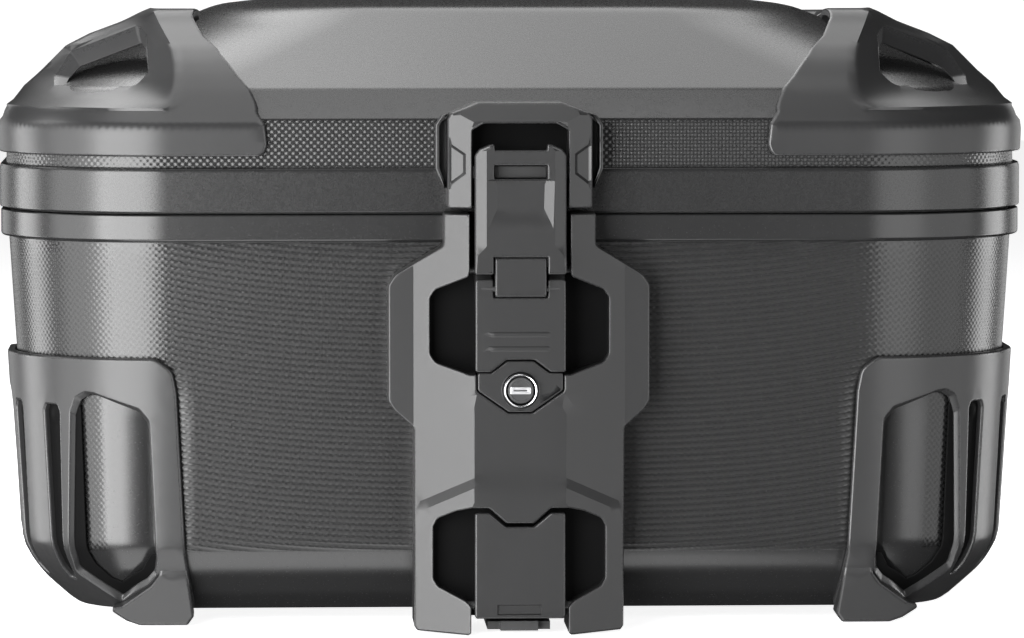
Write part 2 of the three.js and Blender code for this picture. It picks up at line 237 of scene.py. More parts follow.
def slab_data(outline, surf, thick, holes=(), bevel=0.8, steps=3, grid=0, creases=(), back=0.3):
    """A plate with rounded front edges: outline and holes in (u, v), surf(u, v, depth) -> mm.

    A hole is an outline, or (mouth, throat, drop) for one whose wide mouth narrows to a throat.
    """
    layers = [(bevel + CAP_INSET, 0, 0)]
    for k in range(steps + 1):
        a = math.pi / 2 * k / steps
        layers.append((bevel * (1 - math.sin(a)), bevel * (1 - math.cos(a)), 1 if k < steps else 0.6))
    layers.append((0, min(thick - back, bevel + 0.8), 0))
    layers.append((0, thick - back, 0))
    layers.append((back, thick, 0))
    stacks = [[(offset(ccw(outline), i), d, w) for i, d, w in layers]]
    for hole in holes:
        if isinstance(hole, tuple) and len(hole) == 3 and isinstance(hole[0], list):
            mouth, throat, drop = hole
            if area(mouth) > 0:
                mouth, throat = mouth[::-1], throat[::-1]
            stacks.append([(offset(mouth, 0.7), 0, 0), (offset(mouth, 0.22), 0.05, 0.9),
                           (mix_loops(mouth, throat, 0.08), 0.08 * drop + 0.1, 0.9),
                           (mix_loops(mouth, throat, 0.5), 0.5 * drop, 0.1),
                           (mix_loops(mouth, throat, 0.9), 0.9 * drop, 0.1),
                           (throat, drop, 0.4), (throat, min(thick - back, drop + 0.5), 0),
                           (throat, thick - back, 0), (offset(throat, back), thick, 0)])
        else:
            stacks.append([(offset(clockwise(hole), i), d, w) for i, d, w in layers])
    verts, faces, edge = [], [], []
    fronts, backs = [], []
    for stack in stacks:
        rings = []
        for pts, depth, wear in stack:
            ring = []
            for u, v in pts:
                ring.append(len(verts))
                verts.append(surf(u, v, depth))
                edge.append(wear)
            rings.append((ring, pts))
        for (a, _), (b, _) in zip(rings, rings[1:]):
            n = len(a)
            faces += [(a[i], b[i], b[(i + 1) % n], a[(i + 1) % n]) for i in range(n)]
        fronts.append(rings[0])
        backs.append(rings[-1])

    def cap(rings, depth, fill):
        coords, ids, edges = [], [], []
        for ring, pts in rings:
            start = len(coords)
            coords += [Vector(p) for p in pts]
            ids += ring
            edges += [(start + i, start + (i + 1) % len(pts)) for i in range(len(pts))]
        outer, inner = rings[0][1], [p for _, p in rings[1:]]

        def free(p, gap):
            if not inside(p, outer) or any(inside(p, h) for h in inner):
                return False
            return not any(near_edge(p, q, gap) for q in [outer] + inner)

        lines = [(Vector(a), Vector(b)) for a, b in creases] if fill else []

        def on_line(p):
            return any(line_dist(Vector(p), a, b) < grid * CREASE_GAP for a, b in lines)

        if fill:
            if grid:
                us = [p[0] for p in outer]
                vs = [p[1] for p in outer]
                v = min(vs) + grid / 2
                row = 0
                while v < max(vs):
                    u = min(us) + grid / 2 + (grid / 2 if row % 2 else 0)
                    while u < max(us):
                        if free((u, v), grid * OUTLINE_GAP) and not on_line((u, v)):
                            coords.append(Vector((u, v)))
                            ids.append(None)
                        u += grid
                    v += grid * ROW_PITCH
                    row += 1
            for line in creases:
                last = None
                a, b = Vector(line[0]), Vector(line[1])
                k = max(1, int((b - a).length / max(1.5, grid * 0.5)))
                for j in range(k + 1):
                    p = a + (b - a) * (j / k)
                    if free(p, 0.12):
                        coords.append(p)
                        ids.append(None)
                        if last is not None:
                            edges.append((last, len(coords) - 1))
                        last = len(coords) - 1
                    else:
                        last = None
        got = delaunay_2d_cdt(coords, edges, [], 0, 1e-5)
        new, tris, origin = got[0], got[2], got[3]
        index = []
        for p, src in zip(new, origin):
            known = [ids[s] for s in src if s < len(ids) and ids[s] is not None]
            if known:
                index.append(known[0])
            else:
                index.append(len(verts))
                verts.append(surf(p.x, p.y, depth))
                edge.append(0)
        for t in tris:
            c = sum((new[i] for i in t), Vector((0, 0))) / len(t)
            if inside(c, outer) and not any(inside(c, h) for h in inner):
                faces.append(tuple(index[i] for i in t))

    cap(fronts, 0, True)
    cap(backs, thick, bool(grid))
    return verts, faces, edge


def slab(name, outline, surf, thick, mat, body, replaces=(), slot="satin_plastic", sharp=None, **kw):
    verts, faces, edge = slab_data(outline, surf, thick, **kw)
    return make(name, verts, faces, mat, body, replaces, {"edge": edge}, sharp)


def join_data(*parts):
    verts, faces, edge = [], [], []
    for v, f, e in parts:
        base = len(verts)
        verts += v
        edge += e
        faces += [tuple(i + base for i in q) for q in f]
    return verts, faces, edge


def skin(name, parts, mat, body, node, sharp=30):
    """One piece joined from several, in place of a CAD node."""
    verts, faces, edge = join_data(*parts)
    return make(name, verts, faces, mat, body, (node,), {"edge": edge}, sharp)


def symmetric(half, r=1, steps=4, step=4, flip=False):
    """Rounded outline from its left half."""
    line = mirror2(half)
    return densify(fillet(line[::-1] if flip else line, r, steps), step)


# ---- materials
class Nodes:
    """A material and the nodes wired into it."""

    def __init__(self, name):
        self.mat = bpy.data.materials.new(name)
        self.mat.use_nodes = True
        self.tree = self.mat.node_tree
        self.bsdf = self.tree.nodes["Principled BSDF"]
        self.coords = self.add("ShaderNodeTexCoord").outputs["Object"]

    def add(self, kind, **props):
        node = self.tree.nodes.new(kind)
        for key, value in props.items():
            setattr(node, key, value)
        return node

    def link(self, a, b):
        self.tree.links.new(a, b)

    def feed(self, socket, value):
        self.link(value, self.bsdf.inputs[socket])

    def math(self, op, a, b=None, c=None):
        node = self.add("ShaderNodeMath", operation=op)
        for i, v in enumerate((a, b, c)):
            if v is None:
                continue
            if isinstance(v, (int, float)):
                node.inputs[i].default_value = v
            else:
                self.link(v, node.inputs[i])
        return node.outputs[0]

    def mul(self, a, b):
        return self.math("MULTIPLY", a, b)

    def plus(self, a, b):
        return self.math("ADD", a, b)

    def minus(self, a, b):
        return self.math("SUBTRACT", a, b)

    def mul_add(self, a, b, c):
        return self.math("MULTIPLY_ADD", a, b, c)

    def step(self, value, lo, hi):
        """Smooth step from 0 at lo to 1 at hi."""
        node = self.add("ShaderNodeMapRange", interpolation_type="SMOOTHSTEP")
        self.link(value, node.inputs[0])
        node.inputs[1].default_value = lo
        node.inputs[2].default_value = hi
        return node.outputs[0]

    def noise(self, scale, detail=3, rough=0.55, stretch=None):
        node = self.add("ShaderNodeTexNoise")
        node.inputs["Scale"].default_value = scale
        node.inputs["Detail"].default_value = detail
        node.inputs["Roughness"].default_value = rough
        src = self.coords
        if stretch:
            mapping = self.add("ShaderNodeMapping")
            mapping.inputs["Scale"].default_value = stretch
            self.link(src, mapping.inputs["Vector"])
            src = mapping.outputs[0]
        self.link(src, node.inputs["Vector"])
        return node.outputs["Fac"]

    def attribute(self, name):
        return self.add("ShaderNodeAttribute", attribute_name=name)

    def ramp(self, value, stops):
        node = self.add("ShaderNodeValToRGB")
        els = node.color_ramp.elements
        while len(els) < len(stops):
            els.new(0.5)
        for el, (pos, col) in zip(els, stops):
            el.position = pos
            el.color = (*col, 1)
        self.link(value, node.inputs["Fac"])
        return node.outputs["Color"]

    def mix(self, fac, a, b):
        node = self.add("ShaderNodeMix", data_type="RGBA")
        for socket, v in ((node.inputs[0], fac), (node.inputs[6], a), (node.inputs[7], b)):
            if isinstance(v, (int, float)):
                socket.default_value = v
            elif isinstance(v, tuple):
                socket.default_value = (*v, 1)
            else:
                self.link(v, socket)
        return node.outputs[2]

    def bump(self, height, distance, strength=1, normal=None):
        node = self.add("ShaderNodeBump")
        node.inputs["Strength"].default_value = strength
        node.inputs["Distance"].default_value = distance
        self.link(height, node.inputs["Height"])
        if normal is not None:
            self.link(normal, node.inputs["Normal"])
        return node.outputs[0]


def grey(v):
    """Grey with a faint blue cast."""
    return (v, v, v * 1.02)


def plastic(name, tone, rough, grain=0.00003, edge_gain=1.35, weave=None, gloss=0.5):
    """Moulded plastic: fine spark-eroded grain, faint flow marks, polished and paler edges."""
    n = Nodes(name)
    blotch = n.noise(14, 4)
    flow = n.noise(60, 3, 0.5, stretch=(1, 1, 0.25))
    tones = n.plus(n.mul(blotch, 0.6), n.mul(flow, 0.4))
    base = n.ramp(tones, [(0.3, grey(tone * 0.9)), (0.55, grey(tone)), (0.75, grey(tone * 1.12))])
    worn = n.attribute("edge").outputs["Fac"]
    patch = n.noise(220, 4, 0.65)
    worn = n.mul(worn, n.step(patch, 0.34, 0.62))
    base = n.mix(n.mul(worn, 0.8), base, grey(tone * edge_gain))
    micro = n.noise(2600, 2, 0.6)
    pores = n.noise(900, 3, 0.6)
    height = n.plus(n.mul(micro, 0.6), n.mul(pores, 0.4))
    normal = n.bump(height, grain, 0.7)
    r = n.plus(n.mul(pores, 0.14), rough - 0.07)
    r = n.minus(r, n.mul(worn, 0.08))
    if weave:
        base, normal, r = weave(n, base, normal, r, tone)
    n.feed("Base Color", base)
    n.feed("Roughness", r)
    n.feed("Normal", normal)
    n.bsdf.inputs["IOR"].default_value = 1.5
    n.bsdf.inputs["Specular IOR Level"].default_value = gloss
    return n.mat


PITCH = 3         # mm between the ridges of the tub
RISE = 2.57e-6      # climb of the ridges: mm per cubed mm from the middle of a face
TUB_NET, LID_NET = 3.2, 3.4
TUB_RELIEF, LID_RELIEF = 0.00028, 0.00024


def ridges(n, along, z):
    """Fine ridges that run level in the middle of a face and climb towards its ends."""
    cube = n.mul(n.mul(along, along), along)
    phase = n.minus(z, n.mul(cube, RISE))
    wave = n.math("SINE", n.mul(phase, math.tau / PITCH))
    return n.mul_add(wave, 0.5, 0.5)


def diamonds(n, along, z, pitch):
    k = math.tau / pitch
    a = n.math("SINE", n.mul(along, k))
    b = n.math("SINE", n.mul(z, k))
    return n.mul_add(n.mul(a, b), 0.5, 0.5)


def split_weave(n):
    """Run from the front's and the side's middle, share of the side, and height in mm."""
    at = n.attribute("weave")
    parts = n.add("ShaderNodeSeparateXYZ")
    n.link(at.outputs["Vector"], parts.inputs[0])
    xyz = n.add("ShaderNodeSeparateXYZ")
    n.link(n.coords, xyz.inputs[0])
    z = n.mul(xyz.outputs["Z"], 1000)
    return parts.outputs[0], parts.outputs[1], parts.outputs[2], z


def tub_weave(n, base, normal, r, tone):
    """Ridges on the faces that turn into a net round the corners; "smooth" is 0 on the flutes."""
    s_front, s_side, w, z = split_weave(n)
    line = n.add("ShaderNodeMix", data_type="FLOAT")
    n.link(w, line.inputs[0])
    n.link(ridges(n, s_front, z), line.inputs[2])
    n.link(ridges(n, s_side, z), line.inputs[3])
    line = line.outputs[0]
    net = diamonds(n, s_front, z, TUB_NET)
    zone = n.mul(n.step(z, 36.3, 37.3), n.step(z, 186.1, 185.5))
    zone = n.mul(zone, n.attribute("smooth").outputs["Fac"])
    turned = n.mul(n.step(s_front, 160, 182), n.step(s_side, 92, 120))
    share = n.mul_add(turned, 0.55, 0.22)
    lines = n.mul(line, n.minus(1, share))
    height = n.plus(lines, n.mul(net, share))
    height = n.mul(height, zone)
    relief = n.mul(height, n.mul_add(turned, -0.55, 1))
    normal = n.bump(relief, TUB_RELIEF, 0.7, normal)
    shaded_groove = n.mul(n.step(height, 0.8, 0.15), zone)
    # Painted shade: the grooves of the ridges and net are darkened in colour; the same mask also raises
    # roughness.
    base = n.mix(n.mul(shaded_groove, 0.8), base, grey(tone * 0.1))
    r = n.plus(r, n.mul(shaded_groove, n.mul_add(turned, -0.08, 0.12)))
    return base, normal, r


def lid_weave(n, base, normal, r, tone):
    """Net on the lid's band only."""
    s_front, _, _, z = split_weave(n)
    zone = n.mul(n.step(z, 221.9, 222.4), n.step(z, 244.6, 244))
    net = diamonds(n, s_front, z, LID_NET)
    height = n.mul(net, zone)
    normal = n.bump(height, LID_RELIEF, 0.7, normal)
    shaded_groove = n.mul(n.minus(1, net), zone)
    # Painted shade: the grooves of the net are darkened in colour.
    base = n.mix(n.mul(shaded_groove, 0.6), base, grey(tone * 0.35))
    return base, normal, r


def metal(name, tone, rough, stretch=(1, 1, 1), metallic=1):
    n = Nodes(name)
    streak = n.noise(900, 3, 0.6, stretch=stretch)
    stain = n.noise(60, 4)
    base = n.ramp(stain, [(0.3, grey(tone * 0.82)), (0.6, grey(tone)), (0.8, grey(tone * 1.08))])
    worn = n.mul(n.attribute("edge").outputs["Fac"], 0.5)
    base = n.mix(worn, base, grey(min(1, tone * 1.25)))
    n.feed("Base Color", base)
    n.feed("Roughness", n.plus(n.mul(streak, 0.18), rough - 0.09))
    n.feed("Normal", n.bump(streak, 0.00002, 0.5))
    n.bsdf.inputs["Metallic"].default_value = metallic
    return n.mat


def lock_steel(name):
    """Dark turned face; parts with wear 1 are bright polished steel."""
    n = Nodes(name)
    bright = n.attribute("edge").outputs["Fac"]
    rings = n.noise(1400, 3, 0.6)
    stain = n.noise(300, 4)
    dark = n.ramp(stain, [(0.3, grey(0.02)), (0.7, grey(0.035))])
    shiny = n.ramp(stain, [(0.3, grey(0.62)), (0.7, grey(0.8))])
    n.feed("Base Color", n.mix(bright, dark, shiny))
    n.feed("Roughness", n.plus(n.mul(rings, 0.16), 0.24))
    n.feed("Metallic", bright)
    n.feed("Normal", n.bump(rings, 0.00002, 0.5))
    return n.mat


TUB = plastic("tub_plastic", 0.0105, 0.25, weave=tub_weave)
LID = plastic("lid_plastic", 0.0105, 0.27, weave=lid_weave)
SATIN = plastic("satin_plastic", 0.017, 0.32, gloss=0.44)
LATCH = plastic("latch_plastic", 0.015, 0.33, gloss=0.36)
# Near-black, almost matt plastic for the bottoms of recesses and channels: painted shade.
PAINTED_SHADE = plastic("painted_shade_plastic", 0.004, 0.6, gloss=0.03)
RUBBER = plastic("rubber", 0.012, 0.7, grain=0.00006)
STEEL = metal("steel", 0.5, 0.3, stretch=(0.05, 1, 1))
LOCK_STEEL = lock_steel("lock_steel")
RING_STEEL = metal("ring_steel", 0.6, 0.22)
KEEPER_STEEL = metal("keeper_steel", 0.012, 0.5, metallic=0.2)
BLACK_STEEL = metal("black_steel", 0.03, 0.42, metallic=0.35)


# ---- tub and lid
ARC = RIM_R * math.pi / 2
STRAIGHT_X, STRAIGHT_Y = RIM_HX - RIM_R, RIM_HY - RIM_R


def smooth01(t):
    t = clamp01(t)
    return t * t * (3 - 2 * t)


def ring_stations():
    """Stations round the plan outline: (corner sign x, corner sign y, turn 0 front..90 side, run)."""
    out = []
    arc_n = 40
    runs_x = (0, 0.25, 0.5, 0.7, 0.82, 0.88, 0.92, 0.96)
    runs_y = (0, 0.3, 0.6, 0.75, 0.85, 0.9, 0.95)
    for sx, sy in ((-1, -1), (-1, 1), (1, 1), (1, -1)):
        quarter = [("x", f) for f in runs_x]
        quarter += [("a", i / arc_n) for i in range(arc_n + 1)]
        quarter += [("y", f) for f in reversed(runs_y)]
        if sx * sy < 0:
            quarter.reverse()
        for kind, f in quarter:
            if out and f == 0 and kind in "xy" and out[-1][2] == kind and out[-1][3] == 0:
                continue
            out.append((sx, sy, kind, f))
    first, last = out[0], out[-1]
    if first[2] == last[2] and first[3] == last[3] == 0:
        out.pop()
    return out


STATIONS = ring_stations()


def station_point(st, hx, hy, r):
    sx, sy, kind, f = st
    cx, cy = hx - r, hy - r
    if kind == "x":
        return sx * cx * f, CY + sy * hy
    if kind == "y":
        return sx * hx, CY + sy * cy * f
    t = f * math.pi / 2
    return sx * (cx + r * math.sin(t)), CY + sy * (cy + r * math.cos(t))


def station_weave(st):
    """(distance from the front's middle, distance from the side's middle, share of the side)."""
    _, _, kind, f = st
    if kind == "x":
        return (STRAIGHT_X * f, STRAIGHT_Y + ARC + STRAIGHT_X * (1 - f), 0)
    if kind == "y":
        return (STRAIGHT_X + ARC + STRAIGHT_Y * (1 - f), STRAIGHT_Y * f, 1)
    return (STRAIGHT_X + ARC * f, STRAIGHT_Y + ARC * (1 - f), smooth01((f - 0.3) / 0.35))


def corner_run(st):
    """Distance along the outline from the corner's diagonal, positive towards the front or rear."""
    _, _, kind, f = st
    if kind == "x":
        return ARC / 2 + STRAIGHT_X * (1 - f)
    if kind == "y":
        return -ARC / 2 - STRAIGHT_Y * (1 - f)
    return ARC * (0.5 - f)


def round_profile(rows, steps=4):
    """Rows are (values..., z, cut): every row's corner is rounded over cut mm each way."""
    out = []
    for i, row in enumerate(rows):
        p, cut = row[:-1], row[-1]
        if cut <= 0 or i in (0, len(rows) - 1):
            out.append(tuple(p))
            continue
        ends = []
        for q in (rows[i - 1][:-1], rows[i + 1][:-1]):
            gap = math.dist(p, q)
            t = min(cut, 0.45 * gap) / gap
            ends.append(lerp(p, q, t))
        for k in range(steps + 1):
            f = k / steps
            out.append(tuple(x * (1 - f) ** 2 + y * 2 * f * (1 - f) + z * f ** 2
                             for x, y, z in zip(ends[0], p, ends[1])))
    return out


def fill_rows(rows, step):
    out = [rows[0]]
    for a, b in zip(rows, rows[1:]):
        k = max(1, int(abs(b[-1] - a[-1]) / step))
        out += [tuple(x + (y - x) * j / k for x, y in zip(a, b)) for j in range(1, k + 1)]
    return out


def shell(name, rows, place, mat, body, node, wear):
    verts, faces, weave, edge, soft = [], [], [], [], []
    n = len(STATIONS)
    for row in rows:
        for st in STATIONS:
            p, s = place(st, row)
            verts.append(p)
            weave.append(station_weave(st))
            edge.append(wear(row))
            soft.append(s)
    for k in range(len(rows) - 1):
        a, b = k * n, (k + 1) * n
        faces += [(a + i, a + (i + 1) % n, b + (i + 1) % n, b + i) for i in range(n)]
    faces.append(tuple(range(n)))
    faces.append(tuple(reversed(range(len(verts) - n, len(verts)))))
    return make(name, verts, faces, mat, body, (node,),
                {"weave": weave, "edge": edge, "smooth": soft})


# Tub: outside from the floor's middle to the rim, then down the inside. Rows: offset, z, rounding.
tub_rows = [(-80, 6, 0), (-45.5, 6, 3), (-32, 14.5, 3), (-19.5, 27.2, 5), (-13.4, 38, 5), (-6.7, 141, 0),
    (-3.9, 186.3, 0.4), (-0.7, 186.7, 0.5), (0, 187.7, 0.5), (0, 199.4, 1), (-8.6, 199.4, 0.8),
    (-8.6, 186, 1), (-11.9, 141, 0), (-18.5, 40, 6), (-24, 30, 6), (-36, 17.5, 8), (-50, 10, 6),
    (-80, 10, 0)]
tub_rows = fill_rows(round_profile(tub_rows), 9)
FLUTE = ((26.5, 70), (-108, -67))
FLUTE_DEPTH = 4.4
FLUTE_FOOT, FLUTE_TOP = 8, 121
OUTER_LAST = max(range(len(tub_rows)), key=lambda i: (tub_rows[i][1], tub_rows[i][0]))


def tub_place(st, row, outer):
    d, z = row
    smooth = 1
    if -30 < d < -3 and outer:
        s = corner_run(st)
        for lo, hi in FLUTE:
            if lo < s < hi and z < FLUTE_TOP:
                f = (s - lo) / (hi - lo)
                f = f if lo > 0 else 1 - f
                depth = 0.16 * smooth01(f / 0.24) + 0.84 * clamp01((f - 0.22) / 0.44)
                depth *= 1 - smooth01((f - 0.7) / 0.3)
                depth *= smooth01((FLUTE_TOP - z) / 9) * smooth01((z - FLUTE_FOOT) / 12)
                d = d - FLUTE_DEPTH * depth
                smooth = 0
    x, y = station_point(st, RIM_HX + d, RIM_HY + d, max(RIM_R + d, 2))
    return (x, y, z), smooth


def tub_placer():
    """Places points in the order shell() asks for them, and flutes only the outside rows."""
    placed = 0

    def place(st, row):
        nonlocal placed
        outer = placed // len(STATIONS) <= OUTER_LAST
        placed += 1
        return tub_place(st, row, outer)
    return place


def tub_edge(row):
    return 0.8 if 184.5 < row[-1] < 187.5 or row[-1] > 198.6 else 0


shell("tub", tub_rows, tub_placer(), TUB, "tub", "lower_shell", tub_edge)


def rim_row(d, z, cut=0):
    """A row that follows the rim, d outside it."""
    return (RIM_HX + d, RIM_HY + d, RIM_R + d, z, cut)


lid_rows = [(60, 36, 30, 300, 0), (122, 76, 58, 299.2, 12), (144, 94, 72, 296.6, 9), (160, 106, 80, 290, 7),
            (230, 162, 84, 259, 2.2), rim_row(-3.2, 244.7, 1.6), rim_row(-2.7, 221.9, 0.5),
            rim_row(0, 221.4, 0.5), rim_row(0.6, 219.8, 0.8), rim_row(0.6, 200.6, 1),
            rim_row(-4, 200.6, 0.3), rim_row(-4, 203.8), rim_row(-8.6, 203.8), rim_row(-8.6, 200.6),
            rim_row(-11.5, 200.6, 0.6), rim_row(-11.5, 205, 1), rim_row(-6.8, 209, 1), rim_row(-7, 243, 3),
            (224, 156, 80, 256, 4), (156, 102, 76, 286.2, 8), (141, 91, 69, 292.6, 8),
            (119, 73, 55, 295.4, 8),
            (60, 36, 30, 296.2, 0)]
lid_rows = fill_rows(round_profile(lid_rows), 9)


def lid_place(st, row):
    hx, hy, r, z = row
    x, y = station_point(st, hx, hy, r)
    return (x, y, z), 1


def lid_edge(row):
    z = row[-1]
    return 0.7 if 219.5 < z < 221.8 or z < 201.6 or 243.5 < z < 245.6 else 0


shell("lid", lid_rows, lid_place, LID, "lid", "lid_shell", lid_edge)


# ---- corner guards
def lookup(rows, z):
    """Rows of tuples ending in z, interpolated at z."""
    if z <= rows[0][-1]:
        return rows[0]
    for a, b in zip(rows, rows[1:]):
        if z <= b[-1]:
            f = (z - a[-1]) / (b[-1] - a[-1])
            return lerp(a, b, f)
    return rows[-1]


REAR_DROP, REAR_DROP_Z = 0.13, 262      # the rear upper guards sink by this share above this height


def four_corners(prefix, data, mat, body):
    verts, faces, edge = data
    for where, sx, sy in CORNERS:
        low = 0 if sy > 0 or prefix != "upper_guard" else REAR_DROP
        pts = [(sx * x, CY + sy * (y - CY), z - low * max(0, z - REAR_DROP_Z)) for x, y, z in verts]
        node = f"{prefix}_{where}"
        make(node + "_skin", pts, faces, mat, body, (node,) if node in NODES else (),
             {"edge": edge}, 32)


# Lower guard: u runs round the corner in mm from its diagonal, positive towards the front.
GUARD_ROWS = round_profile([(-38.3, 5.9, 0), (-32.4, 9.8, 2), (-19.2, 21.6, 3), (-14.3, 27, 3),
    (-8, 37.8, 5), (-2.8, 130, 0), (-2.72, 133, 0)])
GUARD_PIVOT = (-(RIM_HX - RIM_R), CY - (RIM_HY - RIM_R))
GUARD_MID = -19


def guard_slope(z):
    z = max(7.2, min(127, z))
    lo, hi = lookup(GUARD_ROWS, z - 1.2), lookup(GUARD_ROWS, z + 1.2)
    run = math.dist(lo, hi) or 1
    return (hi[0] - lo[0]) / run, (hi[1] - lo[1]) / run


def guard_surf(u, z, depth):
    d = lookup(GUARD_ROWS, z)[0]
    slope, rise = guard_slope(z)
    turn = max(-ARC / 2, min(ARC / 2, u))
    a = math.radians(225) + turn / RIM_R
    nx, ny = math.cos(a), math.sin(a)
    over = u - turn
    r = RIM_R + d - depth * rise
    x, y = GUARD_PIVOT[0] + nx * r, GUARD_PIVOT[1] + ny * r
    if over > 0:
        x += over
    elif over < 0:
        y -= over
    return x, y, z + depth * slope


def guard_u(x, z):
    """Where a point seen at x on the front lies round the corner."""
    ax = abs(x)
    if ax <= RIM_HX - RIM_R:
        return ARC / 2 + RIM_HX - RIM_R - ax
    r = RIM_R + lookup(GUARD_ROWS, z)[0]
    return ARC / 2 - RIM_R * math.asin(min(1, (ax - RIM_HX + RIM_R) / r))


def both_sides(pts):
    return pts, [(2 * GUARD_MID - u, z) for u, z in pts]


WINDOW = [(0, 104, 4), (0.06, 111.5, 4), (0.17, 114.2, 5), (0.27, 113.8, 6), (0.8, 106.6, 5),
    (0.92, 100.5, 5), (1, 32.5, 4), (0.98, 25, 4), (0.9, 20.5, 4), (0.58, 10.5, 3), (0.4, 15.3, 6),
    (0.07, 25, 3), (0.03, 30.6, 3)]
window = [(guard_u(-214.5 + t * 42, z), z, r) for t, z, r in WINDOW]
mid_u = sum(p[0] for p in window) / len(window)
throat = [(u + (1.9 if u < mid_u else -0.9), z + (1.4 if z < 60 else -1.6), r) for u, z, r in window]
slot = [(-7.9, 104), (-6.4, 107), (1.6, 107), (3.1, 104), (0.6, 27), (-1.4, 22), (-5.4, 22), (-6.9, 27)]
edge_u = [(76.6, 6.2), (72.4, 35), (68.4, 114), (66.4, 124.8)]
guard_half = [(u, z, 1.5 if z < 40 else 8) for u, z in edge_u] + [(58.5, 130.4, 9)]
guard_line = guard_half + [(2 * GUARD_MID - u, z, r) for u, z, r in reversed(guard_half)]
guard_line = densify(fillet(guard_line, 2, 5), 4)
mouths = both_sides([(p[0], p[1]) for p in densify(fillet(window, 4, 4), 5)])
throats = both_sides([(p[0], p[1]) for p in densify(fillet(throat, 4, 4), 5)])
slots = both_sides(densify(fillet(slot, 1.6, 4), 5))


def runs(loop):
    """Distance walked along a closed outline, at each point."""
    out = [0]
    for a, b in around(loop):
        out.append(out[-1] + math.dist(a, b))
    return out


def same_count(mouth, throat_pts):
    """Resample the throat so that every mouth point has a partner."""
    walked, total = runs(mouth), runs(throat_pts)
    loop, out = throat_pts + throat_pts[:1], []
    for i in range(len(mouth)):
        want = walked[i] / walked[-1] * total[-1]
        k = max(j for j in range(len(throat_pts)) if total[j] <= want + 1e-9)
        f = (want - total[k]) / max(1e-9, total[k + 1] - total[k])
        out.append(lerp(loop[k], loop[k + 1], f))
    return out


guard_holes = [(m, same_count(m, t), 2.3) for m, t in zip(mouths, throats)] + list(slots)
guard_creases = [((-112, z), (80, z)) for z in (9.8, 21.6, 27, 37.8)]
guard_plate = slab_data(guard_line, guard_surf, 3.7, guard_holes, bevel=1.1, grid=5,
                        creases=guard_creases)


def floor_surf(u, z, depth):
    """Channel floors behind the slots, with a small boss at the head of each. They are drawn near-black as
    painted shade.
    """
    lift = 0
    for centre in (-2.4, 2 * GUARD_MID + 2.4):
        reach = math.hypot((u - centre) / 3.6, (z - 102.5) / 4.2)
        lift = max(lift, 1.5 * smooth01(1.35 - reach))
    return guard_surf(u, z, 2.9 - lift + depth)


half_floor = [(13.5, 112), (15.4, 105), (15.4, 35), (18, 28), (25, 20.5), (31, 18.5), (48, 26), (54, 34),
    (61, 34), (61, 10), (30, 8)]
floor_line = densify(half_floor + [(2 * GUARD_MID - u, z) for u, z in reversed(half_floor)], 2.5)
guard_floor = slab_data(floor_line, floor_surf, 0.8, bevel=0.2, steps=1, grid=2.4, back=0.1)

foot_line = fillet([(-171.4, 33.5, 2), (-171.9, 25.4, 4), (-175.8, 20.2, 4), (-189.4, 10.4, 3),
    (-196.5, 8.8, 2), (-187.6, 2.6, 5), (-181.4, 0.4, 5), (-158.2, 0.4, 1.5), (-155.2, 4.8, 1.5),
    (-158.9, 33.5, 1)], 2, 4)


def foot_surf(u, v, d):
    return u, -150 - max(0, v - 1.5) * 0.43 + max(0, v - 26) * 0.7 + d, v


guard_foot = slab_data(densify(foot_line, 4), foot_surf, 17.5, bevel=1.2, grid=5)
four_corners("lower_guard", join_data(guard_plate, guard_foot), SATIN, "tub")
# The channel floors are near-black sheets: painted shade in the channels and beside the ribs.
four_corners("guard_floor", guard_floor, PAINTED_SHADE, "tub")

# Upper guard: rows of the front crease (fx, fy), the side crease (sx, sy), roundness and z.
EYE_ROWS = [(167, 175, 250, 92, 1, 227), (167, 175.5, 250.5, 92, 1, 238.5),
    (167, 174.9, 249.9, 92, 1, 241.8), (167, 173, 248, 92, 1, 244.2),
    (166.5, 169.8, 246.6, 93, 0.95, 248.4), (165, 167.4, 243.4, 93, 0.75, 251.5),
    (163, 161.5, 237.6, 91, 0.3, 259), (163, 154.6, 229.6, 90, 0.12, 266),
    (163.2, 147.2, 223.6, 90, 0.06, 272), (164.6, 138.3, 217.4, 90, 0.02, 278.2),
    (168, 128, 206, 85, 0, 284), (171.5, 117, 190, 90, 0, 290), (174, 109, 180, 94, 0, 295),
    (172, 103.5, 176, 94, 0, 296.6), (169, 97, 171, 91, 0, 296), (165, 89.5, 165.5, 86, 0, 292),
    (162, 86, 162.5, 84, 0, 289.2)]


def eye_corner(row, t):
    """Point on the corner, t = 0 at the front crease and 1 at the side crease."""
    fx, fy, sx, sy, bulge, z = row
    th = t * math.pi / 2
    ax, ay = fx + (sx - fx) * math.sin(th), sy + (fy - sy) * math.cos(th)
    lx, ly = fx + (sx - fx) * t, fy + (sy - fy) * t
    return -(lx + (ax - lx) * bulge), -(ly + (ay - ly) * bulge)


def eye_width(row):
    pts = [eye_corner(row, i / 12) for i in range(13)]
    return sum(math.dist(a, b) for a, b in zip(pts, pts[1:]))


# The same rows, each with the corner's width and the run v from the lowest row.
V_TOP, EYE_V = 0, []
for i, row in enumerate(EYE_ROWS):
    if i:
        prev = EYE_ROWS[i - 1]
        V_TOP += math.hypot((row[1] + row[2] - prev[1] - prev[2]) / 2, row[5] - prev[5])
    EYE_V.append(row + (eye_width(row), V_TOP))
V_OF_Z = [(r[7], r[5]) for r in EYE_V]
STEP_V = lookup(V_OF_Z, 248.9)[0]


def eye_flat(u, v):
    row = lookup(EYE_V, v)
    half = row[6] / 2
    if abs(u) <= half:
        x, y = eye_corner(row[:6], 0.5 - u / (2 * half))
    elif u > 0:
        x, y = -(row[0] - (u - half)), -row[1]
    else:
        x, y = -row[2], -(row[3] - (-u - half))
    return Vector((x, y, row[5]))


